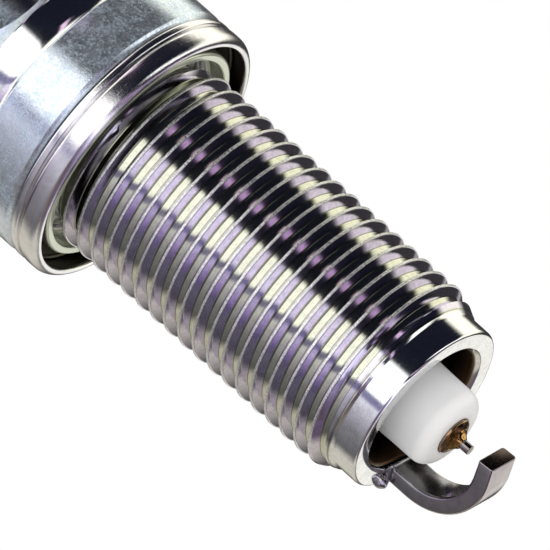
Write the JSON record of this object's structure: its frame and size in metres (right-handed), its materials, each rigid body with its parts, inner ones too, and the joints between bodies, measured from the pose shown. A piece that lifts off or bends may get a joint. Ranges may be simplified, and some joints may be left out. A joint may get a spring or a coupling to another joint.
{
  "type": "spark plug",
  "caption": "Long-reach spark plug with hexagon shell, loose folded gasket, projected white insulator nose, fine-wire centre tip, long bent ground electrode and screw-on terminal nut.",
  "frame": {"origin": "on the plug's axis, in the plane of the uncompressed gasket's lower face", "axes": "+Z along the axis towards the terminal; the ground electrode is welded on at -X"},
  "size_m": [0.0188, 0.0188, 0.0812],
  "materials": {
    "plated_shell": "bright nickel plate with a faint passivation tint",
    "gasket_steel": "bright plated sheet steel",
    "alumina": "white alumina, satin nose and glazed head",
    "packing_steel": "plain steel",
    "talc": "pressed powder",
    "electrode_alloy": "nickel alloy, heat tinted",
    "copper": "copper",
    "fused_tip": "fused alloy, straw coloured",
    "precious_wire": "drawn wire",
    "glass_seal": "fused glass and metal powder",
    "resistor_mix": "fired carbon and glass",
    "stud_steel": "plated steel",
    "terminal_plate": "bright nickel plate",
    "ground_alloy": "satin nickel alloy, dark",
    "ground_weld": "fused nickel alloy"
  },
  "bodies": {
    "plug": {"metal_shell": "plated_shell", "insulator": "alumina", "seat_packing": "packing_steel", "lower_packing_ring": "packing_steel", "talc_ring": "talc", "upper_packing_ring": "packing_steel", "centre_electrode": "electrode_alloy", "centre_electrode_core": "copper", "firing_tip_weld": "fused_tip", "firing_tip": "precious_wire", "lower_glass_seal": "glass_seal", "resistor": "resistor_mix", "upper_glass_seal": "glass_seal", "terminal_stud": "stud_steel", "ground_electrode": "ground_alloy", "ground_electrode_weld": "ground_weld"},
    "gasket": {"gasket": "gasket_steel"},
    "terminal_nut": {"terminal_nut": "terminal_plate"}
  },
  "joints": [
    {"name": "gasket_spin", "type": "hinge", "parent": "plug", "child": "gasket", "pos_m": [0, 0, 0], "axis": [0, 0, 1], "continuous": true},
    {"name": "terminal_nut_lift", "type": "slide", "parent": "plug", "child": "terminal_nut", "axis": [0, 0, 1], "range_m": [0, 0.009]}
  ]
}
